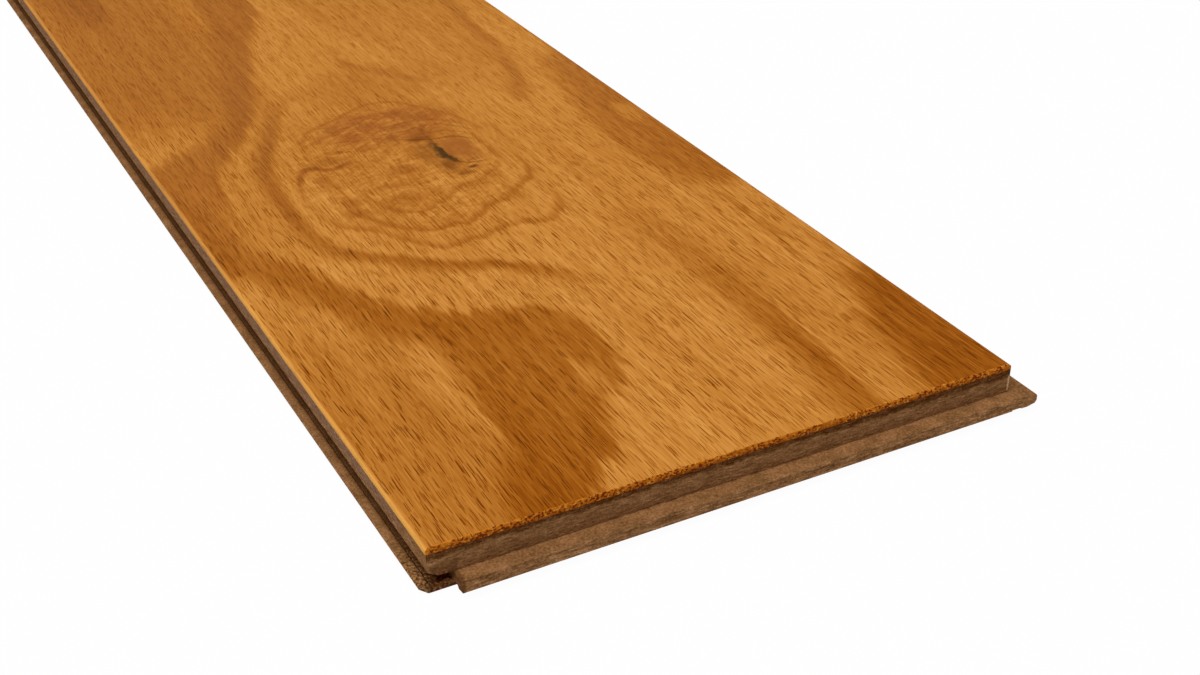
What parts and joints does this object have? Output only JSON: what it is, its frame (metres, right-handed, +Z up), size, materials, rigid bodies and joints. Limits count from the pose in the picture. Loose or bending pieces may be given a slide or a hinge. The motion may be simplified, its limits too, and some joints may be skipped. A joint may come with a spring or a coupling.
{
  "type": "engineered floorboard",
  "caption": "Engineered floorboard: a stained oak face veneer on a dense fibreboard core, with tongue and groove edges that lock into the boards beside it.",
  "frame": {"origin": "on the underside, below the middle of the face", "axes": "+X across the board from its groove edge to its tongue edge, +Y along the board from its tongue end to its groove end, +Z up through the face"},
  "size_m": [0.133, 1.2241, 0.0111],
  "materials": {
    "oak_face": "satin lacquer over a honey stain",
    "fibreboard": "raw milled fibreboard"
  },
  "bodies": {
    "root": {"oak_face_veneer": "oak_face", "fibreboard_core": "fibreboard"}
  },
  "joints": []
}
